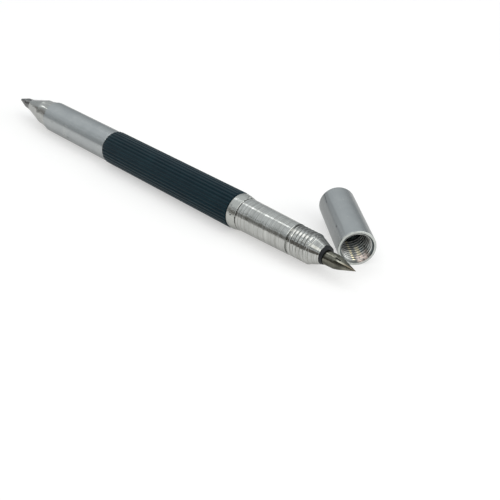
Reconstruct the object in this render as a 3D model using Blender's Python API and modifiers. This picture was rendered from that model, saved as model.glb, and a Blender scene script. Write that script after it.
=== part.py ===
"""Double-ended scriber and centre punch pen with a loose screw cap.

The pen lies on its ribbed grip, its long axis along +X and its cap thread towards +X. The cap lies on
the same surface, beside the front tip, its mouth turned towards the tip.

Stations along the pen are measured in metres from the front face of the grip, positive towards the
front tip. Stations along the cap are measured from its mouth, negative towards its closed end.
"""

import math

import bpy

MM = 0.001
CLEARANCE = 0.3 * MM  # between pieces that touch face to face
FIT = 0.15 * MM  # between a shank and its bore
STEPS = 48  # facets round every turned piece
SHARP_ANGLE = math.radians(25)

# Grip sleeve
GRIP_LENGTH = 64.3 * MM
GRIP_RADIUS = 6.0 * MM  # over the ribs
RIBS = 30
RIB_HEIGHT = 0.24 * MM
POINTS_PER_RIB = 6

# Barrel tube
BARREL_RADIUS = 5.76 * MM
BARREL_REAR = -102.6 * MM
BARREL_FRONT = 2.6 * MM  # inside the ferrule
BORE_RADIUS = 4.4 * MM
SEAT_RADIUS = 5.0 * MM  # under the grip sleeve and the ferrule

# Front ferrule, its lip rolled down in front of the tube's end
FERRULE_RADIUS = 5.82 * MM
FERRULE_TAPER_START = 1.2 * MM
FERRULE_LIP = 3.5 * MM
FERRULE_LIP_RADIUS = 5.45 * MM
ROLLED_EDGE = 0.35 * MM

# Front nose
SHANK_RADIUS = BORE_RADIUS - FIT
FRONT_SHANK_LENGTH = 14.0 * MM
BODY_START = FERRULE_LIP + CLEARANCE
BODY_RADIUS_REAR = 5.32 * MM
BODY_RADIUS_FRONT = 4.97 * MM
BODY_END = 24.3 * MM
BODY_EDGE = 0.15 * MM
RELIEF_RADIUS = 4.45 * MM
RELIEF_RUNOUT = 0.25 * MM
THREAD_START = 25.1 * MM
THREAD_PITCH = 1.25 * MM
THREAD_TURNS = 5
THREAD_CREST_RADIUS = 4.86 * MM
THREAD_ROOT_RADIUS = 4.5 * MM
CONE_START = 31.7 * MM
CONE_START_RADIUS = 4.75 * MM
CONE_END = 35.95 * MM
CONE_END_RADIUS = 3.06 * MM

# Front tip and the black ring round it
FRONT_TIP_RADIUS = 2.2 * MM
FRONT_TIP_SHANK = 22.5 * MM
FRONT_GROUND_START = 40.3 * MM
FRONT_CONE_START = 42.1 * MM
FRONT_POINT = 47.6 * MM
FRONT_HALF_ANGLE = math.radians(18)
BUSH_START = CONE_END + 0.1 * MM
BUSH_END = 36.9 * MM
BUSH_RADIUS = 3.0 * MM  # at its back, on the nose's end face
BUSH_FRONT_RADIUS = 2.78 * MM

# Rear nose
REAR_SHANK_END = -90.0 * MM
SHOULDER_START = BARREL_REAR - CLEARANCE
SHOULDER_RADIUS = 5.52 * MM
SHOULDER_END = -107.0 * MM
NECK_RADIUS = 4.82 * MM
NECK_END = -108.9 * MM
REAR_CONE_END = -118.3 * MM
REAR_CONE_END_RADIUS = 2.42 * MM

# Rear tip, with a collar that carries on the nose's taper
REAR_TIP_SHANK_RADIUS = 1.95 * MM
REAR_TIP_SHANK = -108.5 * MM
COLLAR_RADIUS = 2.4 * MM
COLLAR_END = -120.0 * MM
COLLAR_END_RADIUS = 2.04 * MM
REAR_GROUND_START = -122.0 * MM
REAR_GROUND_RADIUS = 1.88 * MM
REAR_POINT = -127.2 * MM
REAR_BLUNT_RADIUS = 0.4 * MM

POINT_RADIUS = 0.06 * MM  # how blunt the front point is
BORE_END_SPACE = 1.0 * MM  # behind each tip's shank

# Cap
CAP_RADIUS = 5.8 * MM
CAP_LENGTH = 28.8 * MM
CAP_END_ROUND = 1.1 * MM
CAP_RIM_ROUND = 0.12 * MM
CAP_BORE_RADIUS = 4.98 * MM
CAP_THREAD_CREST_RADIUS = 4.4 * MM
CAP_THREAD_TURNS = 9
CAP_THREAD_START = -0.7 * MM
CAP_BORE_DEPTH = 27.0 * MM
CAP_DRILL_POINT = 0.9 * MM
CAP_YAW = math.radians(-37.1)  # where the mouth points, seen from above, from +X
CAP_MOUTH_STATION = 39.82 * MM  # along the pen
CAP_MOUTH_ASIDE = 9.83 * MM  # from the pen's axis

# The frame's origin is under the middle of everything.
RIB_PITCH = 2 * math.pi / RIBS
CAP_CORNER_ALONG = CAP_LENGTH - CAP_END_ROUND
CAP_FAR_SIDE = (
    CAP_MOUTH_ASIDE
    + CAP_CORNER_ALONG * math.sin(-CAP_YAW)
    + (CAP_RADIUS - CAP_END_ROUND) * math.cos(CAP_YAW)
    + CAP_END_ROUND
)
PEN_NEAR_SIDE = -GRIP_RADIUS * math.cos(RIB_PITCH / 2)
PEN_X = -(FRONT_POINT + REAR_POINT) / 2
PEN_Y = -(CAP_FAR_SIDE + PEN_NEAR_SIDE) / 2


def clear_scene():
    for item in list(bpy.data.objects):
        bpy.data.objects.remove(item, do_unlink=True)


def new_collection(name):
    collection = bpy.data.collections.new(name)
    bpy.context.scene.collection.children.link(collection)
    return collection


def principled(name, color, metallic, roughness):
    material = bpy.data.materials.new(name)
    material.use_nodes = True
    shader = material.node_tree.nodes["Principled BSDF"]
    shader.inputs["Base Color"].default_value = (*color, 1.0)
    shader.inputs["Metallic"].default_value = metallic
    shader.inputs["Roughness"].default_value = roughness
    return material


def axis_empty(name, collection, location, yaw):
    """An empty whose local Z lies level, turned by yaw from +X; its local X points down."""
    empty = bpy.data.objects.new(name, None)
    empty.location = location
    empty.rotation_euler = (0.0, math.pi / 2, yaw)
    collection.objects.link(empty)
    return empty


def place(item, collection, parent, material):
    collection.objects.link(item)
    item.parent = parent
    item.data.materials.append(material)


def shade_round(item):
    """Keeps the turned mesh, smooth round the axis and sharp at its corners."""
    evaluated = item.evaluated_get(bpy.context.evaluated_depsgraph_get())
    mesh = bpy.data.meshes.new_from_object(evaluated)
    mesh.name = item.name
    mesh.shade_smooth()
    mesh.set_sharp_from_angle(angle=SHARP_ANGLE)
    item.modifiers.clear()
    item.data = mesh


def turned(name, profile, closed, collection, parent, material):
    """A solid of revolution about the parent's Z. profile lists (radius, station) down its outer side."""
    mesh = bpy.data.meshes.new(name)
    points = [(radius, 0.0, station) for radius, station in profile]
    edges = [(i, i + 1) for i in range(len(points) - 1)]
    if closed:
        edges.append((len(points) - 1, 0))
    mesh.from_pydata(points, edges, [])
    item = bpy.data.objects.new(name, mesh)
    place(item, collection, parent, material)
    screw = item.modifiers.new("turn", "SCREW")
    screw.axis = "Z"
    screw.angle = 2 * math.pi
    screw.steps = STEPS
    screw.render_steps = STEPS
    screw.use_merge_vertices = True
    screw.merge_threshold = 0.00001
    shade_round(item)
    return item


def thread_profile(start, turns, pitch, valley, crest):
    """V-shaped rings at the thread's pitch, from start downwards: valley, crest, valley and so on."""
    points = [(valley, start)]
    for turn in range(turns):
        points.append((crest, start - (turn + 0.5) * pitch))
        points.append((valley, start - (turn + 1.0) * pitch))
    return points


def arc(centre, radius, start_angle, end_angle, segments):
    """Points of an arc in the profile plane; angles are measured from outwards towards the front."""
    points = []
    for i in range(segments + 1):
        angle = start_angle + (end_angle - start_angle) * i / segments
        points.append((centre[0] + radius * math.cos(angle), centre[1] + radius * math.sin(angle)))
    return points


def barrel_tube(collection, parent, material):
    """The bare rear of the tube, and its turned-down front that carries the sleeve and the ferrule."""
    profile = [
        (BORE_RADIUS, BARREL_FRONT),
        (SEAT_RADIUS, BARREL_FRONT),
        (SEAT_RADIUS, -GRIP_LENGTH - CLEARANCE / 2),
        (BARREL_RADIUS, -GRIP_LENGTH - CLEARANCE / 2),
        (BARREL_RADIUS, BARREL_REAR + ROLLED_EDGE),
        (BARREL_RADIUS - ROLLED_EDGE / 2, BARREL_REAR),
        (BORE_RADIUS, BARREL_REAR),
    ]
    return turned("barrel_tube", profile, True, collection, parent, material)


def front_ferrule(collection, parent, material):
    """A ring over the tube's end, with a rolled lip that closes in front of it."""
    inner = SEAT_RADIUS + FIT
    lip_back = BARREL_FRONT + CLEARANCE
    lip_centre = (FERRULE_LIP_RADIUS - ROLLED_EDGE, FERRULE_LIP - ROLLED_EDGE)
    profile = [(BORE_RADIUS, FERRULE_LIP)]
    profile += arc(lip_centre, ROLLED_EDGE, math.pi / 2, 0.0, 3)
    profile += [
        (FERRULE_RADIUS, FERRULE_TAPER_START),
        (FERRULE_RADIUS, CLEARANCE / 2),
        (inner, CLEARANCE / 2),
        (inner, lip_back),
        (BORE_RADIUS, lip_back),
    ]
    return turned("front_ferrule", profile, True, collection, parent, material)


def grip_sleeve(collection, parent, material):
    """A ribbed outline with a round hole, extruded along the pen. One rib points straight down."""
    curve = bpy.data.curves.new("grip_sleeve", "CURVE")
    curve.dimensions = "2D"
    curve.fill_mode = "BOTH"
    curve.extrude = GRIP_LENGTH / 2 - CLEARANCE / 2
    outline = []
    count = RIBS * POINTS_PER_RIB
    for i in range(count):
        angle = 2 * math.pi * i / count
        dip = (1 - math.cos(RIBS * angle)) / 2
        radius = GRIP_RADIUS - RIB_HEIGHT * dip**1.5
        outline.append((radius * math.cos(angle), radius * math.sin(angle)))
    hole_radius = SEAT_RADIUS + FIT
    hole = []
    for i in range(STEPS):
        angle = 2 * math.pi * i / STEPS
        hole.append((hole_radius * math.cos(angle), hole_radius * math.sin(angle)))
    for loop in (outline, hole):
        spline = curve.splines.new("POLY")
        spline.points.add(len(loop) - 1)
        for point, (x, y) in zip(spline.points, loop):
            point.co = (x, y, 0.0, 1.0)
        spline.use_cyclic_u = True
    item = bpy.data.objects.new("grip_sleeve", curve)
    place(item, collection, parent, material)
    item.location = (0.0, 0.0, -GRIP_LENGTH / 2)
    return item


def front_nose(collection, parent, material):
    bore_radius = FRONT_TIP_RADIUS + FIT
    bore_end = FRONT_TIP_SHANK - BORE_END_SPACE
    thread_end = THREAD_START + THREAD_TURNS * THREAD_PITCH
    profile = [
        (0.0, bore_end),
        (bore_radius, bore_end),
        (bore_radius, CONE_END),
        (CONE_END_RADIUS, CONE_END),
        (CONE_START_RADIUS, CONE_START),
    ]
    profile += thread_profile(
        thread_end, THREAD_TURNS, THREAD_PITCH, THREAD_ROOT_RADIUS, THREAD_CREST_RADIUS
    )
    profile += [
        (RELIEF_RADIUS, THREAD_START - RELIEF_RUNOUT),
        (RELIEF_RADIUS, BODY_END),
        (BODY_RADIUS_FRONT - BODY_EDGE, BODY_END),
        (BODY_RADIUS_FRONT, BODY_END - BODY_EDGE),
        (BODY_RADIUS_REAR, BODY_START),
        (SHANK_RADIUS, BODY_START),
        (SHANK_RADIUS, BODY_START - FRONT_SHANK_LENGTH),
        (0.0, BODY_START - FRONT_SHANK_LENGTH),
    ]
    return turned("front_nose", profile, False, collection, parent, material)


def front_tip_bush(collection, parent, material):
    inner = FRONT_TIP_RADIUS + FIT / 2
    edge = (BUSH_FRONT_RADIUS - inner) / 3
    profile = [
        (inner, BUSH_END),
        (BUSH_FRONT_RADIUS - edge, BUSH_END),
        (BUSH_FRONT_RADIUS, BUSH_END - edge),
        (BUSH_RADIUS, BUSH_START),
        (inner, BUSH_START),
    ]
    return turned("front_tip_bush", profile, True, collection, parent, material)


def front_tip(collection, parent, material):
    """A hard-metal rod, ground in two steps to a point."""
    cone_radius = (FRONT_POINT - FRONT_CONE_START) * math.tan(FRONT_HALF_ANGLE)
    profile = [
        (0.0, FRONT_POINT),
        (POINT_RADIUS, FRONT_POINT - POINT_RADIUS),
        (cone_radius, FRONT_CONE_START),
        (FRONT_TIP_RADIUS, FRONT_GROUND_START),
        (FRONT_TIP_RADIUS, FRONT_TIP_SHANK),
        (0.0, FRONT_TIP_SHANK),
    ]
    return turned("front_tip", profile, False, collection, parent, material)


def rear_nose(collection, parent, material):
    bore_radius = REAR_TIP_SHANK_RADIUS + FIT
    bore_end = REAR_TIP_SHANK + BORE_END_SPACE
    profile = [
        (0.0, REAR_SHANK_END),
        (SHANK_RADIUS, REAR_SHANK_END),
        (SHANK_RADIUS, SHOULDER_START),
        (SHOULDER_RADIUS, SHOULDER_START),
        (NECK_RADIUS, SHOULDER_END),
        (NECK_RADIUS, NECK_END),
        (REAR_CONE_END_RADIUS, REAR_CONE_END),
        (bore_radius, REAR_CONE_END),
        (bore_radius, bore_end),
        (0.0, bore_end),
    ]
    return turned("rear_nose", profile, False, collection, parent, material)


def rear_tip(collection, parent, material):
    """A hard-metal punch point, blunter than the front one."""
    collar_start = REAR_CONE_END - FIT
    profile = [
        (0.0, REAR_TIP_SHANK),
        (REAR_TIP_SHANK_RADIUS, REAR_TIP_SHANK),
        (REAR_TIP_SHANK_RADIUS, collar_start),
        (COLLAR_RADIUS, collar_start),
        (COLLAR_END_RADIUS, COLLAR_END),
        (REAR_GROUND_RADIUS, REAR_GROUND_START),
        (REAR_BLUNT_RADIUS, REAR_POINT + REAR_BLUNT_RADIUS / 2),
        (0.0, REAR_POINT),
    ]
    return turned("rear_tip", profile, False, collection, parent, material)


def cap(collection, parent, material):
    """A closed cap: rounded outside edge, thread inside its mouth, plain bore with a drill point."""
    thread_end = CAP_THREAD_START - CAP_THREAD_TURNS * THREAD_PITCH
    inside = [(0.0, -CAP_BORE_DEPTH - CAP_DRILL_POINT), (CAP_BORE_RADIUS, -CAP_BORE_DEPTH)]
    rings = thread_profile(
        CAP_THREAD_START, CAP_THREAD_TURNS, THREAD_PITCH, CAP_BORE_RADIUS, CAP_THREAD_CREST_RADIUS
    )
    inside += list(reversed(rings))
    inside.append((CAP_BORE_RADIUS, 0.0))
    outside = [
        (CAP_RADIUS - CAP_RIM_ROUND, 0.0),
        (CAP_RADIUS, -CAP_RIM_ROUND),
    ]
    corner_centre = (CAP_RADIUS - CAP_END_ROUND, -CAP_CORNER_ALONG)
    outside += arc(corner_centre, CAP_END_ROUND, 0.0, -math.pi / 2, 5)
    outside.append((0.0, -CAP_LENGTH))
    return turned("cap", inside + outside, False, collection, parent, material)


def build():
    clear_scene()
    collection = new_collection("double_ended_scriber")
    satin = principled("satin_aluminium", (0.62, 0.65, 0.67), 1.0, 0.38)
    bright = principled("turned_aluminium", (0.74, 0.74, 0.71), 1.0, 0.2)
    ribbed = principled("grip_plastic", (0.012, 0.035, 0.045), 0.0, 0.45)
    black = principled("bush_black", (0.01, 0.01, 0.012), 0.0, 0.5)
    carbide = principled("hard_metal", (0.2, 0.19, 0.16), 1.0, 0.3)

    pen = axis_empty("pen_axis", collection, (PEN_X, PEN_Y, GRIP_RADIUS), 0.0)
    barrel_tube(collection, pen, satin)
    front_ferrule(collection, pen, satin)
    grip_sleeve(collection, pen, ribbed)
    front_nose(collection, pen, bright)
    front_tip_bush(collection, pen, black)
    front_tip(collection, pen, carbide)
    rear_nose(collection, pen, bright)
    rear_tip(collection, pen, carbide)

    mouth = (PEN_X + CAP_MOUTH_STATION, PEN_Y + CAP_MOUTH_ASIDE, CAP_RADIUS)
    cap_axis = axis_empty("cap_axis", collection, mouth, CAP_YAW)
    cap(collection, cap_axis, satin)


build()
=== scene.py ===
"""Looks for the double-ended scriber and centre punch pen and its loose cap.

Every piece is modelled about its own axis: local Z runs along it (towards the front tip on the pen, out
of the mouth on the cap), local X points up, and angles are measured from the top towards the near side.
Stations run along that axis, from just in front of the grip on the pen and from the mouth on the cap.
"""

import math

import bpy
import numpy as np
from mathutils import Matrix, Vector

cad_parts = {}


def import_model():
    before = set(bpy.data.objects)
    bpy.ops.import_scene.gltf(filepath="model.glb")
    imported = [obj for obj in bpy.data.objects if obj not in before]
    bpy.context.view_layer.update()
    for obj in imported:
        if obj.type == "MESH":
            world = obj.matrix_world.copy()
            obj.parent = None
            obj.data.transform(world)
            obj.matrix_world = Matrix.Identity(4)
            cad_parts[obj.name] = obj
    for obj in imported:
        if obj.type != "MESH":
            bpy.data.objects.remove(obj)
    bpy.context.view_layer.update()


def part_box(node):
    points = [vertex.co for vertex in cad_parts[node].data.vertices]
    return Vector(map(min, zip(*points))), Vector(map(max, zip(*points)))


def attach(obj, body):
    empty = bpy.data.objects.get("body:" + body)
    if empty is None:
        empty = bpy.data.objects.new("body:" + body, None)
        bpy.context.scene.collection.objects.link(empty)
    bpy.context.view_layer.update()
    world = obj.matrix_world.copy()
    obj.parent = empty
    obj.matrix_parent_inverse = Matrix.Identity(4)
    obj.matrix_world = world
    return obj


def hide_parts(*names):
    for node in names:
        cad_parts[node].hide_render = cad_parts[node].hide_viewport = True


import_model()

MM = 0.001
TURN = 2 * math.pi
UP = Vector((0.0, 0.0, 1.0))

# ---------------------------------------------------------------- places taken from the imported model

grip_low, grip_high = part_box("grip_sleeve")
tube_low, tube_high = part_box("barrel_tube")
cap_low, cap_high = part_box("cap")
PEN_Y = (tube_low.y + tube_high.y) / 2
PEN_Z = (tube_low.z + tube_high.z) / 2
GRIP_GAP = 0.15 * MM  # between the grip's front face and station 0
PEN_ORIGIN = Vector((grip_high.x + GRIP_GAP, PEN_Y, PEN_Z))
GRIP_LENGTH = grip_high.x - grip_low.x

CAP_YAW = math.radians(-37.1)
CAP_RADIUS = (cap_high.z - cap_low.z) / 2
CAP_LENGTH = 28.8 * MM
CAP_DIRECTION = Vector((math.cos(CAP_YAW), math.sin(CAP_YAW), 0.0))
# The mouth's edge is the furthest point along X and along -Y, and its rim is rounded by this much.
CAP_RIM_ROUND = 0.12 * MM
CAP_MOUTH = Vector(
    (
        cap_high.x - (CAP_RADIUS - CAP_RIM_ROUND) * math.sin(-CAP_YAW),
        cap_low.y + (CAP_RADIUS - CAP_RIM_ROUND) * math.cos(CAP_YAW),
        CAP_RADIUS,
    )
)


def axis_matrix(origin, direction):
    """Local Z along direction, local X up, local Y towards the near side."""
    matrix = Matrix((UP, direction.cross(UP), direction)).transposed().to_4x4()
    matrix.translation = origin
    return matrix


PEN = axis_matrix(PEN_ORIGIN, Vector((1.0, 0.0, 0.0)))
CAP = axis_matrix(CAP_MOUTH, CAP_DIRECTION)

# ---------------------------------------------------------------- turned surfaces

STRAIGHT = math.radians(89)  # a corner whose half angle is wider than this needs no fillet
SHARP = math.radians(40)  # faces that meet at more than this have a sharp edge between them
TINY = 1e-9  # a length that counts as none
ROUNDING = 1e-6  # a share of a run that counts as none


def filleted(corners, segments=4):
    """(radius, station, fillet) corners to a profile with an arc at every corner that has a fillet."""
    profile = []
    last = len(corners) - 1
    for i, (radius, station, fillet) in enumerate(corners):
        here = Vector((radius, station))
        if not fillet or i in (0, last):
            profile.append(tuple(here))
            continue
        before = (Vector(corners[i - 1][:2]) - here).normalized()
        after = (Vector(corners[i + 1][:2]) - here).normalized()
        half = before.angle(after) / 2
        if half > STRAIGHT:
            profile.append(tuple(here))
            continue
        reach = fillet / math.tan(half)
        centre = here + (before + after).normalized() * (fillet / math.sin(half))
        start = here + before * reach - centre
        end = here + after * reach - centre
        turn = math.copysign(start.angle(end), start.x * end.y - start.y * end.x)
        for k in range(segments + 1):
            a = turn * k / segments
            c, s = math.cos(a), math.sin(a)
            profile.append((centre.x + start.x * c - start.y * s, centre.y + start.x * s + start.y * c))
    return profile


def subdivided(profile, longest, first, last):
    """Adds rings between two stations of a profile so that no run there is longer than longest."""
    low, high = min(first, last), max(first, last)
    result = [profile[0]]
    for a, b in zip(profile, profile[1:]):
        wider, further = b[0] - a[0], b[1] - a[1]
        steps = {1.0}
        if abs(further) > TINY:
            ends = sorted(((low - a[1]) / further, (high - a[1]) / further))
            start, end = max(ends[0], 0.0), min(ends[1], 1.0)
            if start < end:
                length = math.hypot(wider, further) * (end - start)
                pieces = max(1, math.ceil(length / longest - ROUNDING))
                steps.update(start + (end - start) * k / pieces for k in range(pieces + 1))
        result += [(a[0] + wider * t, a[1] + further * t) for t in sorted(steps) if t > ROUNDING]
    return result


def revolved(profile, closed, shape, segments):
    """The points and faces of a profile turned about Z. Where its radius is 0, it has one point, a pole."""
    radii = np.array([p[0] for p in profile])
    stations = np.array([p[1] for p in profile])
    angles = np.arange(segments) * TURN / segments
    r = np.repeat(radii[:, None], segments, axis=1)
    z = np.repeat(stations[:, None], segments, axis=1)
    a = np.repeat(angles[None, :], len(profile), axis=0)
    if shape is not None:
        r, z = shape(r, z, a)
    points = []
    index = np.zeros((len(profile), segments), dtype=int)
    for i, radius in enumerate(radii):
        if radius < TINY:
            index[i, :] = len(points)
            points.append((0.0, 0.0, float(z[i, 0])))
            continue
        index[i, :] = np.arange(segments) + len(points)
        ring = np.stack([r[i] * np.cos(a[i]), r[i] * np.sin(a[i]), z[i]], axis=1)
        points.extend(map(tuple, ring))
    faces = []
    for i in range(len(profile) if closed else len(profile) - 1):
        n = (i + 1) % len(profile)
        for j in range(segments):
            k = (j + 1) % segments
            corners = [index[i, j], index[n, j], index[n, k], index[i, k]]
            face = [int(v) for m, v in enumerate(corners) if v not in corners[:m]]
            if len(face) > 2:
                faces.append(face)
    return points, faces


def turned(
    name,
    node,
    profile,
    matrix,
    body,
    material,
    closed=False,
    shape=None,
    segments=192,
    inside=None,
):
    """Makes the piece that stands for a CAD node: a profile turned about its axis, placed by matrix.

    closed joins the profile's last point to its first. shape(radius, station, angle) moves the points.
    inside is a second material and a test that says from a face's centre whether the face has it.
    """
    points, faces = revolved(profile, closed, shape, segments)
    mesh = bpy.data.meshes.new(name)
    mesh.from_pydata(points, [], faces)
    mesh.validate()
    mesh.shade_smooth()
    mesh.set_sharp_from_angle(angle=SHARP)
    mesh.materials.append(material)
    if inside is not None:
        second, is_inside = inside
        mesh.materials.append(second)
        for polygon in mesh.polygons:
            polygon.material_index = int(is_inside(polygon.center))
    piece = bpy.data.objects.new(name, mesh)
    bpy.context.scene.collection.objects.link(piece)
    piece.matrix_world = matrix
    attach(piece, body)
    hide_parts(node)


# ---------------------------------------------------------------- node graphs


class Graph:
    """A short way to build nodes. A value is a number, a tuple (a colour has three numbers) or a socket."""

    def __init__(self, tree):
        self.tree = tree

    def put(self, socket, value):
        if isinstance(value, bpy.types.NodeSocket):
            self.tree.links.new(value, socket)
        elif socket.type == "RGBA":
            socket.default_value = (*value, 1.0)
        else:
            socket.default_value = value

    def add(self, kind, inputs=None, **props):
        node = self.tree.nodes.new(kind)
        for key, value in props.items():
            setattr(node, key, value)
        for key, value in (inputs or {}).items():
            self.put(node.inputs[key], value)
        return node

    def coordinates(self, kind):
        return self.add("ShaderNodeTexCoord").outputs[kind]

    def split(self, vector):
        """The X, Y and Z of a vector."""
        return tuple(self.add("ShaderNodeSeparateXYZ", {"Vector": vector}).outputs)

    def vector(self, operation, a, b):
        """A vector operation. A distance or a dot product comes back as a number."""
        node = self.add("ShaderNodeVectorMath", {0: a, 1: b}, operation=operation)
        return node.outputs["Value" if operation in ("DISTANCE", "DOT_PRODUCT") else "Vector"]

    def scaled(self, vector, scale):
        return self.add("ShaderNodeMapping", {"Vector": vector, "Scale": scale}).outputs["Vector"]

    def noise(self, vector, scale, detail=2.0, roughness=0.5, distortion=0.0):
        node = self.add(
            "ShaderNodeTexNoise",
            {
                "Vector": vector,
                "Scale": scale,
                "Detail": detail,
                "Roughness": roughness,
                "Distortion": distortion,
            },
        )
        return node.outputs["Fac"]

    def math(self, operation, a, b=0.0):
        return self.add("ShaderNodeMath", {0: a, 1: b}, operation=operation).outputs[0]

    def plus(self, a, b):
        return self.math("ADD", a, b)

    def times(self, a, b):
        return self.math("MULTIPLY", a, b)

    def remap(self, value, low, high, to_low=0.0, to_high=1.0, smooth=False):
        node = self.add(
            "ShaderNodeMapRange",
            {"Value": value, "From Min": low, "From Max": high, "To Min": to_low, "To Max": to_high},
            interpolation_type="SMOOTHSTEP" if smooth else "LINEAR",
        )
        return node.outputs["Result"]

    def mix(self, factor, a, b):
        """A colour from a, at factor 0, to b, at factor 1."""
        node = self.add("ShaderNodeMix", {"Factor": factor}, data_type="RGBA")
        for key, value in (("A", a), ("B", b)):
            self.put(next(s for s in node.inputs if s.name == key and s.type == "RGBA"), value)
        return next(s for s in node.outputs if s.type == "RGBA")

    def bump(self, height, strength, distance, below=None):
        inputs = {"Height": height, "Strength": strength, "Distance": distance}
        if below is not None:
            inputs["Normal"] = below
        return self.add("ShaderNodeBump", inputs).outputs["Normal"]


class Material(Graph):
    """The graph of a new material, with its object coordinates as position."""

    def __init__(self, name):
        self.material = bpy.data.materials.new(name)
        self.material.use_nodes = True
        super().__init__(self.material.node_tree)
        self.position = self.coordinates("Object")

    def finish(self, **inputs):
        """Gives the shader its inputs, whose names have _ for a space, and returns the material."""
        shader = self.tree.nodes["Principled BSDF"]
        for key, value in inputs.items():
            self.put(shader.inputs[key.replace("_", " ")], value)
        return self.material

    def finish_metal(self, color, rough, normal, edge):
        return self.finish(
            Base_Color=color,
            Metallic=1.0,
            Roughness=rough,
            Normal=normal,
            Specular_Tint=(edge, edge, edge),
        )


def axis_distance(g, position):
    """The distance from the piece's axis."""
    x, y, _ = g.split(position)
    return g.math("SQRT", g.plus(g.math("POWER", x, 2.0), g.math("POWER", y, 2.0)))


def axis_angle(g, position):
    """The angle round the axis, from the top towards the near side."""
    x, y, _ = g.split(position)
    return g.math("ARCTAN2", y, x)


def near_point(g, position, place, radius, blur):
    """1 within radius of a place, falling to 0 over blur."""
    away = g.vector("DISTANCE", position, place)
    return g.remap(away, radius, radius + blur, 1.0, 0.0, smooth=True)


def near_line(g, position, start, end, radius, blur):
    """1 within radius of a straight line between two places, falling to 0 over blur."""
    along = Vector(end) - Vector(start)
    from_start = g.vector("SUBTRACT", position, start)
    share = g.vector("DOT_PRODUCT", from_start, tuple(along / along.length_squared))
    scaled = {0: tuple(along), "Scale": g.remap(share, 0.0, 1.0)}
    nearest = g.add("ShaderNodeVectorMath", scaled, operation="SCALE").outputs["Vector"]
    return near_point(g, g.vector("SUBTRACT", from_start, nearest), (0.0, 0.0, 0.0), radius, blur)


def stripe_along(g, position, centre, half_width, blur):
    """1 within half_width of an angle round the axis, falling to 0 over blur; both are lengths."""
    away = g.math("ABSOLUTE", g.math("SUBTRACT", axis_angle(g, position), centre))
    beside = g.times(away, axis_distance(g, position))
    return g.remap(beside, half_width, half_width + blur, 1.0, 0.0, smooth=True)


def place_on(station, radius, degrees):
    """A place on a turned surface, from its station and radius in mm and its angle in degrees."""
    a = math.radians(degrees)
    return (radius * MM * math.cos(a), radius * MM * math.sin(a), station * MM)


# ---------------------------------------------------------------- materials

SATIN_TONES = ((0.365, 0.383, 0.388), (0.435, 0.45, 0.447))
RING_TONES = ((0.41, 0.42, 0.4), (0.46, 0.465, 0.44))


def satin_aluminium(name, marks=(), painted_shade_stripe=None, scratch=None, rim=None, tones=SATIN_TONES):
    """Drawn satin metal in blotches of two tones, with sparse specks.

    marks are pits, each a place and a radius. A stripe between two angles in degrees, if given, is painted
    darker: painted shade for the darker reflection of the shaded floor on that side.
    scratch is a fine dark line between two places. rim is a station beyond which the metal is painted paler:
    rubbed in chips, and partly a painted highlight that lifts its reflection of the shaded floor.
    """
    g = Material(name)
    p = g.position
    blotch = g.noise(p, 140.0, 4.0, 0.6, 0.6)
    drawn = g.noise(g.scaled(p, (2600.0, 2600.0, 45.0)), 1.0, 3.0, 0.6)
    grain = g.noise(p, 7000.0, 3.0, 0.7)
    color = g.mix(g.remap(blotch, 0.25, 0.75), *tones)
    # Painted shade: a darker stripe between two angles, for the cap's darker reflection of the shaded floor.
    if painted_shade_stripe is not None:
        low, high = map(math.radians, painted_shade_stripe)
        angle = g.plus(axis_angle(g, p), g.remap(blotch, 0.2, 0.8, -0.08, 0.08))
        stripe = g.times(
            g.remap(angle, low - 0.1, low + 0.03, smooth=True),
            g.remap(angle, high - 0.2, high + 0.3, 1.0, 0.0, smooth=True),
        )
        color = g.mix(g.times(stripe, 0.8), color, (0.28, 0.29, 0.29))
    # Painted paler beyond the rim station: rubbed chips, and partly a painted highlight against the
    # reflection of the shaded floor.
    if rim is not None:
        chips = g.remap(g.noise(p, 1300.0, 3.0, 0.6), 0.4, 0.6, 0.4, 1.0)
        rubbed_and_lit = g.times(g.remap(g.split(p)[2], rim - 0.1 * MM, rim), chips)
        color = g.mix(rubbed_and_lit, color, (0.52, 0.54, 0.51))
    cells = g.add("ShaderNodeTexVoronoi", {"Vector": p, "Scale": 260.0}).outputs["Distance"]
    sparse = g.remap(g.noise(p, 210.0, 1.0), 0.6, 0.66)
    specks = g.times(g.remap(cells, 0.05, 0.09, 1.0, 0.0), sparse)
    for place, radius in marks:
        specks = g.math("MAXIMUM", specks, near_point(g, p, place, radius, radius * 0.6))
    if scratch is not None:
        specks = g.math("MAXIMUM", specks, near_line(g, p, *scratch, 0.07 * MM, 0.1 * MM))
    color = g.mix(g.times(specks, 0.75), color, (0.05, 0.055, 0.06))
    rough = g.plus(g.remap(blotch, 0.2, 0.8, 0.2, 0.28), g.remap(drawn, 0.3, 0.7, -0.02, 0.03))
    normal = g.bump(drawn, 0.12, 0.02 * MM)
    normal = g.bump(grain, 0.18, 0.02 * MM, normal)
    normal = g.bump(specks, 0.5, -0.06 * MM, normal)
    return g.finish_metal(color, rough, normal, edge=0.6)


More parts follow.
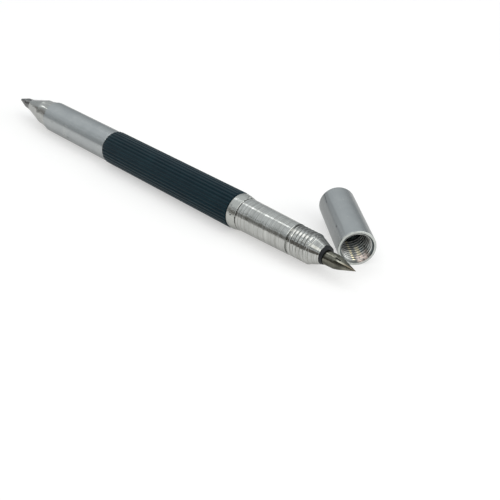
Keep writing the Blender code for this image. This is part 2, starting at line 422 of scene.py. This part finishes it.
def turned_aluminium(name):
    """Bright metal with fine lines and wider bands round the axis, broken up by chatter of the tool."""
    g = Material(name)
    p = g.position
    lines = g.noise(g.scaled(p, (60.0, 60.0, 5200.0)), 1.0, 3.0, 0.7)
    bands = g.noise(g.scaled(p, (30.0, 30.0, 2700.0)), 1.0, 1.0, 0.6)
    wide = g.noise(g.scaled(p, (40.0, 40.0, 900.0)), 1.0, 2.0, 0.5)
    chatter = g.noise(g.scaled(p, (1500.0, 1500.0, 2600.0)), 1.0, 3.0, 0.65)
    smear = g.noise(p, 260.0, 4.0, 0.6, 0.8)
    color = g.mix(g.remap(smear, 0.3, 0.7), (0.44, 0.45, 0.435), (0.52, 0.525, 0.505))
    color = g.mix(g.remap(lines, 0.56, 0.7, 0.0, 0.45), color, (0.22, 0.21, 0.19))
    color = g.mix(g.remap(bands, 0.42, 0.6, 0.0, 0.52), color, (0.25, 0.245, 0.225))
    color = g.mix(g.remap(chatter, 0.55, 0.75, 0.0, 0.4), color, (0.2, 0.195, 0.18))
    rough = g.plus(g.remap(wide, 0.3, 0.7, 0.07, 0.11), g.remap(smear, 0.3, 0.7, -0.02, 0.03))
    normal = g.bump(lines, 0.5, 0.03 * MM)
    normal = g.bump(chatter, 0.3, 0.05 * MM, normal)
    return g.finish_metal(color, rough, normal, edge=0.7)


def bore_aluminium(name):
    """The cut thread inside the cap. Crests are painted bright and roots dark, partly polish and oil, partly
    painted highlight and painted shade; lower down are a patch of painted shade, pink scuffs and gold seams
    painted partly as warm glints.
    """
    g = Material(name)
    p = g.position
    x, y, station = g.split(p)
    lines = g.noise(g.scaled(p, (50.0, 50.0, 6000.0)), 1.0, 3.0, 0.7)
    blotch = g.remap(g.noise(p, 700.0, 4.0, 0.6), 0.3, 0.7)
    fleck = g.noise(p, 1500.0, 3.0, 0.6)
    # Painted highlight and shade: crests painted bright and roots dark, partly polish and oil residue, partly
    # standing for lit crests and shaded roots.
    crest = g.remap(axis_distance(g, p), 4.66 * MM, 4.54 * MM, smooth=True)
    shaded_root = g.mix(blotch, (0.06, 0.08, 0.082), (0.13, 0.15, 0.15))
    shaded_root = g.mix(g.remap(station, -12.5 * MM, -15.0 * MM), shaded_root, (0.24, 0.3, 0.31))
    lit_crest = g.mix(blotch, (0.5, 0.51, 0.5), (0.85, 0.85, 0.82))
    color = g.mix(crest, shaded_root, lit_crest)
    from_floor = g.math("ARCTAN2", y, g.times(x, -1.0))

    def patch(degrees, half_angle, deepest, shallowest):
        """1 between two depths and within half_angle, in radians, of an angle from the bore's floor."""
        away = g.math("ABSOLUTE", g.math("SUBTRACT", from_floor, math.radians(degrees)))
        across = g.remap(away, half_angle, half_angle * 1.8, 1.0, 0.0, smooth=True)
        begins = g.remap(station, deepest - 1.0 * MM, deepest + 1.0 * MM)
        ends = g.remap(station, shallowest + 0.3 * MM, shallowest - 0.3 * MM)
        return g.times(across, g.times(begins, ends))

    # Painted shade: crests darkened near the bore's floor, where the reflected light of the floor made them
    # too bright.
    painted_light_mask = g.times(patch(25.0, 0.55, -9.0 * MM, 0.0), 0.65)
    color = g.mix(painted_light_mask, color, (0.15, 0.15, 0.14))
    # Pale pink scuffs, partly a painted warm reflection.
    scuffs_and_glints = g.times(patch(-32.0, 0.3, -3.5 * MM, 0.0), g.remap(fleck, 0.42, 0.55, 0.2, 0.9))
    color = g.mix(scuffs_and_glints, color, (0.82, 0.68, 0.62))
    # Seam lines along the crests painted gold: partly real seams, partly a painted warm reflection.
    faint_glint_seam = g.times(patch(-23.0, 0.09, -8.0 * MM, -3.0 * MM), g.remap(crest, 0.0, 1.0, 0.2, 0.8))
    color = g.mix(faint_glint_seam, color, (0.8, 0.72, 0.5))
    gold_glint_seam = g.times(patch(5.0, 0.055, -12.5 * MM, -0.2 * MM), crest)
    color = g.mix(gold_glint_seam, color, (1.0, 0.9, 0.6))
    rough = g.remap(lines, 0.3, 0.7, 0.2, 0.34)
    normal = g.bump(lines, 0.4, 0.03 * MM)
    return g.finish(Base_Color=color, Metallic=0.65, Roughness=rough, Normal=normal)


def grip_plastic(name):
    """Dark blue-green plastic, painted a little paler on the rib crests as a painted highlight."""
    g = Material(name)
    p = g.position
    crest = g.remap(axis_distance(g, p), 5.8 * MM, 6.0 * MM, smooth=True)
    blotch = g.noise(p, 170.0, 4.0, 0.6)
    grain = g.noise(p, 5200.0, 3.0, 0.65)
    color = g.mix(g.remap(blotch, 0.3, 0.7), (0.001, 0.012, 0.019), (0.002, 0.016, 0.024))
    # Painted highlight: the rib crests a little paler, in blotches.
    painted_light_mask = g.times(crest, g.remap(blotch, 0.35, 0.75, 0.1, 0.4))
    color = g.mix(painted_light_mask, color, (0.008, 0.032, 0.04))
    rough = g.remap(grain, 0.3, 0.7, 0.34, 0.46)
    normal = g.bump(grain, 0.2, 0.03 * MM)
    return g.finish(Base_Color=color, Roughness=rough, Normal=normal, Specular_IOR_Level=0.12)


def black_plastic(name):
    """Grained plastic, nearly black."""
    g = Material(name)
    grain = g.noise(g.position, 6000.0, 3.0, 0.6)
    color = g.mix(g.remap(grain, 0.3, 0.7), (0.004, 0.005, 0.006), (0.011, 0.013, 0.015))
    rough = g.remap(grain, 0.3, 0.7, 0.4, 0.6)
    normal = g.bump(grain, 0.3, 0.03 * MM)
    return g.finish(Base_Color=color, Roughness=rough, Normal=normal, Specular_IOR_Level=0.3)


def hard_metal(name, dark, light, marks_and_painted_light=None):
    """Ground hard metal with faint streaks along it. A last argument, if given, is called with the graph and
    the colour and gives the colour with its marks and its painted light and shade.
    """
    g = Material(name)
    p = g.position
    ground = g.noise(g.scaled(p, (900.0, 900.0, 5000.0)), 1.0, 3.0, 0.6)
    streaks = g.noise(g.scaled(p, (1500.0, 1500.0, 110.0)), 1.0, 2.0, 0.6)
    blotch = g.noise(p, 500.0, 4.0, 0.6)
    color = g.mix(g.remap(g.plus(streaks, blotch), 0.75, 1.25), dark, light)
    if marks_and_painted_light is not None:
        color = marks_and_painted_light(g, color)
    rough = g.remap(ground, 0.3, 0.7, 0.14, 0.28)
    normal = g.bump(ground, 0.3, 0.02 * MM)
    return g.finish_metal(color, rough, normal, edge=0.6)


LAND_ANGLE = math.radians(37.0)  # of the narrow land along the front point
# Carbide darkened as painted shade, on the front tip's near and far sides.
SHADED_CARBIDE = (0.055, 0.056, 0.05)


def front_tip_marks_and_painted_light(g, color):
    """The front tip's sides darkened as painted shade, a dark line, a polished land painted bright as a
    painted highlight, light flecks painted as glints and a slot beside the land.
    """
    p = g.position
    _, nearer, station = g.split(p)
    fleck = g.noise(g.scaled(p, (1800.0, 1800.0, 1100.0)), 1.0, 2.0, 0.6)
    # Painted shade: darker towards the near side.
    color = g.mix(g.remap(nearer, 0.8 * MM, 1.5 * MM, 0.0, 0.3), color, SHADED_CARBIDE)
    # Painted shade: darker on the far side near the point.
    far_side = stripe_along(g, p, math.radians(-8.0), 0.4 * MM, 0.5 * MM)
    far_side = g.times(far_side, g.remap(station, 43.5 * MM, 45.5 * MM, 0.0, 0.6))
    color = g.mix(far_side, color, SHADED_CARBIDE)
    line = stripe_along(g, p, math.radians(58.0), 0.1 * MM, 0.4 * MM)
    line = g.times(line, g.remap(station, 46.5 * MM, 44.0 * MM, 0.0, 0.3))
    color = g.mix(line, color, (0.03, 0.027, 0.022))
    # The polished land is painted bright along the point: partly polish, partly a painted highlight.
    land = stripe_along(g, p, LAND_ANGLE, 0.18 * MM, 0.16 * MM)
    land = g.times(land, g.remap(station, 41.2 * MM, 41.8 * MM))
    land = g.times(land, g.remap(fleck, 0.3, 0.5, 0.6, 1.0))
    land_highlight = g.mix(g.remap(station, 42.2 * MM, 44.5 * MM), (0.56, 0.55, 0.47), (0.22, 0.19, 0.14))
    color = g.mix(land, color, land_highlight)
    # Painted highlights: short light ticks beside the land.
    glint_ticks_at = g.remap(station, 40.3 * MM, 42.0 * MM, math.radians(20.0), math.radians(9.0))
    glint_ticks = stripe_along(g, p, glint_ticks_at, 0.2 * MM, 0.3 * MM)
    glint_ticks = g.times(glint_ticks, g.remap(fleck, 0.5, 0.62, 0.0, 0.4))
    glint_ticks = g.times(glint_ticks, g.remap(station, 43.2 * MM, 42.5 * MM))
    color = g.mix(glint_ticks, color, (0.5, 0.49, 0.43))
    slot = near_line(g, p, place_on(41.0, 2.0, 24.0), place_on(42.4, 1.7, 25.0), 0.18 * MM, 0.12 * MM)
    return g.mix(g.times(slot, 0.92), color, (0.008, 0.008, 0.008))


SATIN_TUBE = satin_aluminium(
    "satin_tube",
    marks=[(place_on(-96.4, 5.76, 76.0), 0.16 * MM), (place_on(-86.4, 5.76, 107.0), 0.3 * MM)],
)
SATIN_RING = satin_aluminium("satin_ring", tones=RING_TONES)
SATIN_CAP = satin_aluminium(
    "satin_cap",
    marks=[(place_on(-7.7, 5.8, 55.6), 0.26 * MM), (place_on(-13.2, 5.8, 42.7), 0.1 * MM)],
    # This darker stripe on the cap's side is painted shade.
    painted_shade_stripe=(40.0, 78.0),
    scratch=(place_on(-22.2, 5.8, 53.4), place_on(-27.6, 5.78, 49.0)),
    # The paler rim is partly a painted highlight.
    rim=-0.15 * MM,
)
BRIGHT = turned_aluminium("bright_turned")
THREADED = bore_aluminium("bore_aluminium")
GRIP = grip_plastic("grip_plastic")
BLACK = black_plastic("bush_plastic")
CARBIDE = hard_metal("ground_carbide", (0.1, 0.1, 0.082), (0.23, 0.225, 0.185), front_tip_marks_and_painted_light)
REAR_METAL = hard_metal("rear_metal", (0.155, 0.155, 0.153), (0.225, 0.225, 0.222))

# ---------------------------------------------------------------- tube, grip and ferrule

# Bare rear of the tube, with the turned-down seat under the grip and the ferrule.
BARREL_RADIUS = 5.76 * MM
BARREL_FRONT = -64.45 * MM
BARREL_REAR = -102.6 * MM
SEAT_RADIUS = 5.0 * MM
SEAT_FRONT = 2.6 * MM
BORE_RADIUS = 4.4 * MM
tube_corners = [
    (BORE_RADIUS, SEAT_FRONT, 0),
    (SEAT_RADIUS, SEAT_FRONT, 0.1 * MM),
    (SEAT_RADIUS, BARREL_FRONT, 0),
    (BARREL_RADIUS, BARREL_FRONT, 0.12 * MM),
    (BARREL_RADIUS, BARREL_REAR, 0.32 * MM),
    (BORE_RADIUS, BARREL_REAR, 0.05 * MM),
    (BORE_RADIUS, 0.0, 0),
]
turned(
    "tube",
    "barrel_tube",
    subdivided(filleted(tube_corners, 6), 1.0 * MM, -102.2 * MM, -64.6 * MM),
    PEN,
    "pen",
    SATIN_TUBE,
    closed=True,
)

# Grip sleeve: rounded ribs, narrow valleys, ends slightly rounded over.
RIBS = 30
RIB_HEIGHT = 0.24 * MM
RIB_BREADTH = 1.5  # a higher number gives broader ribs and narrower valleys
RIB_FOOT = 5.4 * MM  # the ribs fade in from this radius
RIB_FADE = 0.55 * MM
GRIP_RADIUS = 6.0 * MM
SLEEVE_BORE = 5.15 * MM
SLEEVE_FRONT = -GRIP_GAP
SLEEVE_REAR = SLEEVE_FRONT - GRIP_LENGTH


def ribbed(r, z, a):
    """Cuts the valleys between the ribs into the outside of the sleeve."""
    dip = (1 - np.cos(RIBS * (a + math.pi))) / 2
    outer = np.clip((r - RIB_FOOT) / RIB_FADE, 0, 1)
    return r - RIB_HEIGHT * outer * dip**RIB_BREADTH, z


sleeve_corners = [
    (SLEEVE_BORE, SLEEVE_FRONT, 0),
    (GRIP_RADIUS, SLEEVE_FRONT, 0.16 * MM),
    (GRIP_RADIUS, SLEEVE_REAR, 0.16 * MM),
    (SLEEVE_BORE, SLEEVE_REAR, 0),
]
turned(
    "ribbed_grip",
    "grip_sleeve",
    subdivided(filleted(sleeve_corners, 5), 4.0 * MM, -64.0 * MM, -0.5 * MM),
    PEN,
    "pen",
    GRIP,
    closed=True,
    shape=ribbed,
    segments=RIBS * 16,
)

# Ferrule with a lip rolled down onto the nose, a notch and small burrs in the lip.
FERRULE_RADIUS = 5.82 * MM
FERRULE_BORE = 5.15 * MM
FERRULE_FRONT = 3.5 * MM
FERRULE_REAR = 0.15 * MM
LIP_REAR = 2.9 * MM
NOTCH_ANGLE = math.radians(-16.0)
NOTCH_WIDTH = 0.05  # radians, as the widths and angles below
LOBE_ANGLE = NOTCH_ANGLE - 0.12
LOBE_WIDTH = 0.06
NOTCH_DEPTH = 0.45 * MM
NOTCH_DROP = 0.35 * MM  # how far its edge lies back along the axis
LOBE_HEIGHT = 0.12 * MM
BURRS = 26
draws = np.random.default_rng(7)
BURR_ANGLES = draws.uniform(0, TURN, BURRS)
BURR_WIDTHS = draws.uniform(0.02, 0.07, BURRS)
BURR_HEIGHTS = draws.uniform(-0.16, 0.1, BURRS) * MM


def angle_from(a, centre):
    """How far an angle is from another one, the shorter way round."""
    return np.abs((a - centre + math.pi) % TURN - math.pi)


def burred(r, z, a):
    """Notches the lip, with a small lobe beside the notch, and makes its edge uneven."""
    lip = np.clip((z - 2.7 * MM) / (0.8 * MM), 0, 1) * np.clip((r - 4.6 * MM) / (0.4 * MM), 0, 1)
    push = np.zeros_like(r)
    for angle, width, height in zip(BURR_ANGLES, BURR_WIDTHS, BURR_HEIGHTS):
        push += height * np.exp(-((angle_from(a, angle) / width) ** 2))
    notch = np.exp(-((angle_from(a, NOTCH_ANGLE) / NOTCH_WIDTH) ** 4))
    lobe = np.exp(-((angle_from(a, LOBE_ANGLE) / LOBE_WIDTH) ** 2))
    r = r + lip * (lobe * LOBE_HEIGHT - notch * NOTCH_DEPTH)
    z = z + lip * (push - notch * NOTCH_DROP)
    return r, z


ferrule_corners = [
    (BORE_RADIUS, FERRULE_FRONT, 0),
    (5.42 * MM, FERRULE_FRONT, 0.2 * MM),
    (FERRULE_RADIUS, 1.4 * MM, 0.8 * MM),
    (FERRULE_RADIUS, FERRULE_REAR, 0.12 * MM),
    (FERRULE_BORE, FERRULE_REAR, 0),
    (FERRULE_BORE, LIP_REAR, 0),
    (BORE_RADIUS, LIP_REAR, 0),
]
turned(
    "rolled_ferrule",
    "front_ferrule",
    subdivided(filleted(ferrule_corners, 6), 0.12 * MM, 1.2 * MM, FERRULE_FRONT),
    PEN,
    "pen",
    SATIN_RING,
    closed=True,
    shape=burred,
    segments=360,
)

# ---------------------------------------------------------------- front nose

NOSE_REAR = -10.2 * MM
NOSE_SHANK = 4.25 * MM
NOSE_BODY_REAR = 3.8 * MM
NOSE_BODY_FRONT = 24.3 * MM
THREAD_START = 25.1 * MM
THREAD_END = 31.75 * MM
THREAD_CREST = 4.86 * MM
THREAD_ROOT = 4.5 * MM
PITCH = 1.25 * MM
CONE_REAR = 33.2 * MM
NOSE_FRONT = 35.95 * MM
NOSE_BORE_END = 21.5 * MM
TOOL_FEED = 0.43 * MM  # for each turn of the body
MARK_DEPTH = 0.016 * MM
MARK_DRIFT = 0.028 * MM  # added to the depth where the marks are deepest


def thread_wave(station, angle):
    """From 0 to 1 and back in each turn of a right-handed V thread, with a small flat at 0 and at 1."""
    phase = (station / PITCH - angle / TURN) % 1.0
    saw = 1 - np.abs(2 * phase - 1)
    return np.clip(saw * 1.2 - 0.1, 0, 1)


def tool_marks(r, z, a):
    """Turning marks round the body, and a thread that runs in and out at its ends."""
    body = (r > 4.9 * MM) & (z > 4.0 * MM) & (z < 24.15 * MM)
    scallop = np.abs(np.sin(math.pi * (z / TOOL_FEED - a / TURN)))
    drift = 0.5 + 0.5 * np.sin(z / (1.7 * MM)) * np.sin(z / (0.63 * MM) + 1.0)
    r = np.where(body, r - (MARK_DEPTH + MARK_DRIFT * drift) * (1 - scallop), r)
    thread = (r > 4.0 * MM) & (z > THREAD_START) & (z < THREAD_END)
    ramp_in = np.clip((z - THREAD_START) / (0.5 * PITCH), 0, 1)
    ramp_out = np.clip((THREAD_END - z) / (0.35 * PITCH), 0, 1)
    depth = thread_wave(z, a) * np.minimum(ramp_in, ramp_out)
    return np.where(thread, r - (THREAD_CREST - THREAD_ROOT) * depth, r), z


# From the bottom of the bore for the tip, out of it, back along the outside and to the shank's end. Two
# scored lines lie between the cone and the thread.
nose_corners = [
    (0.0, NOSE_BORE_END, 0),
    (3.1 * MM, NOSE_BORE_END, 0),
    (2.75 * MM, NOSE_FRONT, 0),
    (3.06 * MM, NOSE_FRONT, 0.08 * MM),
    (4.2 * MM, CONE_REAR, 0.04 * MM),
    (4.02 * MM, 33.1 * MM, 0),
    (4.08 * MM, 32.95 * MM, 0),
    (4.3 * MM, 32.85 * MM, 0.04 * MM),
    (4.42 * MM, 32.5 * MM, 0.04 * MM),
    (4.27 * MM, 32.4 * MM, 0),
    (4.33 * MM, 32.25 * MM, 0),
    (4.6 * MM, 32.15 * MM, 0.04 * MM),
    (THREAD_CREST, THREAD_END, 0.04 * MM),
    (THREAD_CREST, THREAD_START, 0.1 * MM),
    (4.45 * MM, 24.8 * MM, 0.08 * MM),
    (4.45 * MM, NOSE_BODY_FRONT, 0),
    (4.97 * MM, NOSE_BODY_FRONT, 0.14 * MM),
    (5.32 * MM, NOSE_BODY_REAR, 0),
    (NOSE_SHANK, NOSE_BODY_REAR, 0),
    (NOSE_SHANK, NOSE_REAR, 0.3 * MM),
    (0.0, NOSE_REAR, 0),
]
nose_profile = filleted(nose_corners, 4)
for longest, first, last in (
    (0.05 * MM, 3.85 * MM, 24.2 * MM),
    (0.04 * MM, 25.0 * MM, 31.8 * MM),
    (0.3 * MM, CONE_REAR, 35.9 * MM),
):
    nose_profile = subdivided(nose_profile, longest, first, last)
turned(
    "threaded_nose",
    "front_nose",
    nose_profile,
    PEN,
    "pen",
    BRIGHT,
    shape=tool_marks,
    segments=112,
)

# ---------------------------------------------------------------- black ring and ground front tip

# The tip sits a little off the pen's axis and leans back towards it.
FRONT_POINT = 47.6 * MM
TIP_RADIUS = 2.2 * MM
TIP_SIDE = math.radians(139.0)  # the side it is off towards
TIP_ASIDE = 0.22 * MM  # at its point
TIP_LEAN = math.radians(1.25)
tip_side = Vector((math.cos(TIP_SIDE), math.sin(TIP_SIDE), 0.0))
forward = Vector((0.0, 0.0, 1.0))  # along the pen, in its own coordinates
TIP = (
    PEN
    @ Matrix.Translation(tip_side * TIP_ASIDE + forward * FRONT_POINT)
    @ Matrix.Rotation(TIP_LEAN, 4, tip_side.cross(forward))
    @ Matrix.Translation(forward * -FRONT_POINT)
)
BUSH_HOLE = 2.27 * MM
BUSH_FRONT = 36.9 * MM
BUSH_REAR = 36.05 * MM


def off_centre_hole(r, z, a):
    """Moves the bush's hole over to the tip."""
    aside = TIP_ASIDE + (FRONT_POINT - z) * math.sin(TIP_LEAN)
    return np.where(r < BUSH_HOLE + 0.01 * MM, r + aside * np.cos(a - TIP_SIDE), r), z


bush_corners = [
    (BUSH_HOLE, BUSH_FRONT, 0),
    (2.78 * MM, BUSH_FRONT, 0.05 * MM),
    (3.0 * MM, BUSH_REAR, 0),
    (BUSH_HOLE, BUSH_REAR, 0),
]
turned(
    "black_ring",
    "front_tip_bush",
    filleted(bush_corners, 5),
    PEN,
    "pen",
    BLACK,
    closed=True,
    shape=off_centre_hole,
)

# Each flat of the point: the angle it faces, and half the angle it spans.
TIP_FLATS = (
    (LAND_ANGLE, math.radians(9.0)),
    (LAND_ANGLE - math.radians(38.0), math.radians(29.0)),
    (LAND_ANGLE + math.radians(34.0), math.radians(25.0)),
)


GRIND_START = 40.2 * MM
GRIND_RUN_IN = 1.2 * MM
GRIND_DEPTH = 0.8  # as a share of a true flat


def ground_flats(r, z, a):
    """Grinds flats along the point that fade out on the shank."""
    grind = np.clip((z - GRIND_START) / GRIND_RUN_IN, 0, 1)
    flat = np.ones_like(r)
    for facing, half in TIP_FLATS:
        cut = np.cos(half) / np.cos(np.minimum(angle_from(a, facing), half))
        flat = np.minimum(flat, cut)
    return r * (1 + grind * (flat - 1) * GRIND_DEPTH), z


front_tip_corners = [
    (0.0, FRONT_POINT, 0),
    (0.05 * MM, FRONT_POINT - 0.08 * MM, 0),
    (0.43 * MM, 46.35 * MM, 0),
    (1.2 * MM, 43.98 * MM, 4.0 * MM),
    (1.82 * MM, 42.1 * MM, 2.5 * MM),
    (TIP_RADIUS, 40.4 * MM, 2.0 * MM),
    (TIP_RADIUS, 22.5 * MM, 0.1 * MM),
    (0.0, 22.5 * MM, 0),
]
turned(
    "ground_front_tip",
    "front_tip",
    subdivided(filleted(front_tip_corners, 6), 0.15 * MM, 36.0 * MM, FRONT_POINT),
    TIP,
    "pen",
    CARBIDE,
    shape=ground_flats,
)

# ---------------------------------------------------------------- rear nose and tip

REAR_SHANK_END = -90.0 * MM
REAR_SHANK = 4.25 * MM
REAR_SHOULDER = -102.9 * MM
REAR_CONE_END = -118.3 * MM
REAR_BORE_END = -107.5 * MM
REAR_BORE = 2.1 * MM
rear_corners = [
    (0.0, REAR_SHANK_END, 0),
    (REAR_SHANK, REAR_SHANK_END, 0.2 * MM),
    (REAR_SHANK, REAR_SHOULDER, 0),
    (5.52 * MM, REAR_SHOULDER, 0.12 * MM),
    (5.2 * MM, -105.0 * MM, 0.6 * MM),
    (4.84 * MM, -107.0 * MM, 1.0 * MM),
    (4.8 * MM, -108.9 * MM, 2.0 * MM),
    (2.42 * MM, REAR_CONE_END, 0.1 * MM),
    (REAR_BORE, REAR_CONE_END, 0),
    (REAR_BORE, REAR_BORE_END, 0),
    (0.0, REAR_BORE_END, 0),
]


RING_SPACING = 0.62 * MM
RING_DEPTH = 0.05 * MM


def rear_marks(r, z, a):
    """Scores rings round the shoulder and the neck."""
    scored = (z > -108.8 * MM) & (z < -103.4 * MM) & (r > 4.5 * MM)
    groove = 0.5 + 0.5 * np.cos(TURN * z / RING_SPACING)
    return np.where(scored, r - RING_DEPTH * groove**3, r), z


turned(
    "rear_nose_cone",
    "rear_nose",
    subdivided(filleted(rear_corners, 5), 0.08 * MM, -109.4 * MM, REAR_SHOULDER),
    PEN,
    "pen",
    BRIGHT,
    shape=rear_marks,
)

REAR_TIP_SHANK = 1.95 * MM
COLLAR_FRONT = -118.45 * MM
rear_tip_corners = [
    (0.0, -108.5 * MM, 0),
    (REAR_TIP_SHANK, -108.5 * MM, 0.1 * MM),
    (REAR_TIP_SHANK, COLLAR_FRONT, 0),
    (2.4 * MM, COLLAR_FRONT, 0.06 * MM),
    (2.04 * MM, -120.0 * MM, 0.8 * MM),
    (1.9 * MM, -122.0 * MM, 0.8 * MM),
    (0.42 * MM, -127.0 * MM, 0.2 * MM),
    (0.0, -127.2 * MM, 0),
]
turned(
    "ground_rear_tip",
    "rear_tip",
    subdivided(filleted(rear_tip_corners, 6), 0.3 * MM, -127.0 * MM, -119.0 * MM),
    PEN,
    "pen",
    REAR_METAL,
)

# ---------------------------------------------------------------- the cap

CAP_BORE = 4.98 * MM
CAP_BORE_END = -27.0 * MM
CAP_CREST = 4.4 * MM
CAP_THREAD_FIRST = -0.2 * MM
CAP_THREAD_LAST = -13.0 * MM
BORE_EDGE = 5.15 * MM
BORE_DEPTH = -27.6 * MM


def inner_thread(r, z, a):
    """Raises the thread inside the bore, which runs in at the mouth and out where it ends."""
    inside = (r < 5.0 * MM) & (r > 4.9 * MM) & (z < CAP_THREAD_FIRST) & (z > CAP_THREAD_LAST)
    ramp_in = np.clip((CAP_THREAD_FIRST - z) / (0.3 * PITCH), 0, 1)
    ramp_out = np.clip((z - CAP_THREAD_LAST) / PITCH, 0, 1)
    height = thread_wave(z, a) * np.minimum(ramp_in, ramp_out)
    return np.where(inside, r - (CAP_BORE - CAP_CREST) * height, r), z


def in_bore(centre):
    """Whether a face of the cap belongs to its bore, from the mouth's inner edge to the drill point."""
    return math.hypot(centre.x, centre.y) < BORE_EDGE and centre.z > BORE_DEPTH


# From the drill point at the bottom of the bore, out at the mouth and back to the closed end.
cap_corners = [
    (0.0, -27.9 * MM, 0),
    (CAP_BORE, CAP_BORE_END, 0.3 * MM),
    (CAP_BORE, -0.15 * MM, 0.05 * MM),
    (5.1 * MM, 0.0, 0.04 * MM),
    (CAP_RADIUS, 0.0, CAP_RIM_ROUND),
    (CAP_RADIUS, -CAP_LENGTH, 1.1 * MM),
    (0.0, -CAP_LENGTH, 0),
]
cap_profile = filleted(cap_corners, 10)
mouth = next(i for i, (radius, station) in enumerate(cap_profile) if radius > 5.02 * MM)
cap_profile = [
    *subdivided(cap_profile[:mouth], 0.05 * MM, CAP_THREAD_LAST - PITCH, CAP_THREAD_FIRST),
    *subdivided(cap_profile[mouth:], 1.0 * MM, -27.2 * MM, -0.1 * MM),
]
turned(
    "threaded_cap",
    "cap",
    cap_profile,
    CAP,
    "cap",
    SATIN_CAP,
    shape=inner_thread,
    segments=240,
    inside=(THREADED, in_bore),
)

# ---------------------------------------------------------------- floor, room, lights and camera

FLOOR_REACH = 4.0
FLOOR_GLOW = 0.45  # it is also lit from below, like a light table, so that shadows on it stay pale


def floor():
    """A wide pale floor, faintly mottled, that glows a little."""
    mesh = bpy.data.meshes.new("floor")
    corners = [(x * FLOOR_REACH, y * FLOOR_REACH, 0) for x, y in ((-1, -1), (1, -1), (1, 1), (-1, 1))]
    mesh.from_pydata(corners, [], [(0, 1, 2, 3)])
    item = bpy.data.objects.new("floor", mesh)
    bpy.context.scene.collection.objects.link(item)
    g = Material("floor")
    mottle = g.noise(g.position, 3.0, 2.0)
    mesh.materials.append(
        g.finish(
            Base_Color=g.mix(mottle, (0.545, 0.54, 0.535), (0.555, 0.55, 0.545)),
            Roughness=0.9,
            Emission_Color=(1.0, 0.99, 0.98),
            Emission_Strength=FLOOR_GLOW,
        )
    )


def world():
    """A pale, slightly blue room, brighter above.

    It has a grey patch beyond the pen and a dark brown one behind its rear tip. The wall on the viewer's
    side is dark low down, with a thin black line above.
    """
    room = bpy.data.worlds.new("room")
    bpy.context.scene.world = room
    room.use_nodes = True
    g = Graph(room.node_tree)
    direction = g.coordinates("Generated")
    x, y, z = g.split(direction)

    def patch(centre, inner, outer):
        """1 within inner degrees of a direction, falling to 0 at outer degrees."""
        facing = g.vector("DOT_PRODUCT", direction, tuple(Vector(centre).normalized()))
        return g.remap(facing, math.cos(math.radians(outer)), math.cos(math.radians(inner)), smooth=True)

    def between(value, low, high, blur):
        """1 between two values, falling to 0 over blur outside them."""
        rise = g.remap(value, low - blur, low, smooth=True)
        fall = g.remap(value, high + blur, high, smooth=True)
        return g.times(rise, fall)

    color = g.mix(g.remap(z, 0.0, 0.7), (0.61, 0.645, 0.665), (0.89, 0.93, 0.95))
    color = g.mix(patch((0.3, 0.85, 0.3), 24, 44), color, (0.3, 0.31, 0.32))
    color = g.mix(patch((-0.95, -0.31, 0.08), 8, 15), color, (0.12, 0.085, 0.06))
    near_wall = g.times(between(x, -0.66, 0.7, 0.12), between(y, -1.2, -0.35, 0.1))
    color = g.mix(g.times(near_wall, between(z, -0.4, 0.395, 0.015)), color, (0.185, 0.178, 0.163))
    color = g.mix(g.times(near_wall, between(z, 0.535, 0.58, 0.008)), color, (0.0, 0.0, 0.0))
    g.put(room.node_tree.nodes["Background"].inputs["Color"], color)


def area_light(name, direction, distance, size, radiance, color=(1.0, 1.0, 1.0), along=(1.0, 0.0, 0.0)):
    """A flat light seen from the pen in that direction, its first side running along a given direction."""
    towards = Vector(direction).normalized()
    first = Vector(along)
    first = (first - towards * first.dot(towards)).normalized()
    matrix = Matrix((first, towards.cross(first), towards)).transposed().to_4x4()
    matrix.translation = towards * distance
    data = bpy.data.lights.new(name, "AREA")
    data.shape = "RECTANGLE"
    data.size, data.size_y = size
    data.energy = radiance * math.pi * size[0] * size[1]
    data.color = color
    item = bpy.data.objects.new(name, data)
    item.matrix_world = matrix
    bpy.context.scene.collection.objects.link(item)


def lights():
    area_light("key", (0.62, 0.05, 0.78), 1.1, (0.7, 0.42), radiance=1.15, color=(1.0, 0.97, 0.93))
    area_light("fill", (0.93, 0.12, 0.34), 1.1, (1.1, 0.55), radiance=3.2, along=(0.0, 1.0, 0.0))
    area_light("window", (0.27, -0.57, 0.77), 1.0, (0.5, 0.4), radiance=0.8, color=(1.0, 0.96, 0.86))
    area_light("tube", (-0.52, 0.08, 0.85), 0.95, (0.4, 0.14), radiance=1.95, along=(0.69, -0.098, 0.0))
    area_light("bulb", (0.064, 0.379, 0.925), 1.0, (0.2, 0.14), radiance=1.0)
    area_light("lamp", (-0.936, -0.08, 0.342), 0.9, (0.04, 0.04), radiance=40.0)


CAMERA_PLACE = Vector((168.67, -162.69, 133.85)) * MM  # from the floor below the pen's station 0
CAMERA_VIEW = Vector((-0.6058, 0.6032, -0.5189)).normalized()
CAMERA_RIGHT = Vector((0.6983, 0.7156, 0.0166))


def camera():
    """A 61 mm lens on a 36 mm wide sensor, looking down and along the pen from beyond its front tip."""
    data = bpy.data.cameras.new("camera")
    data.sensor_width = 36.0
    data.lens = 61.2
    data.clip_start = 0.01
    item = bpy.data.objects.new("camera", data)
    bpy.context.scene.collection.objects.link(item)
    right = (CAMERA_RIGHT - CAMERA_VIEW * CAMERA_RIGHT.dot(CAMERA_VIEW)).normalized()
    matrix = Matrix((right, right.cross(CAMERA_VIEW), -CAMERA_VIEW)).transposed().to_4x4()
    matrix.translation = Vector((PEN_ORIGIN.x, PEN_ORIGIN.y, 0.0)) + CAMERA_PLACE
    item.matrix_world = matrix
    bpy.context.scene.camera = item


floor()
world()
lights()
camera()
bpy.context.scene.view_settings.view_transform = "Standard"
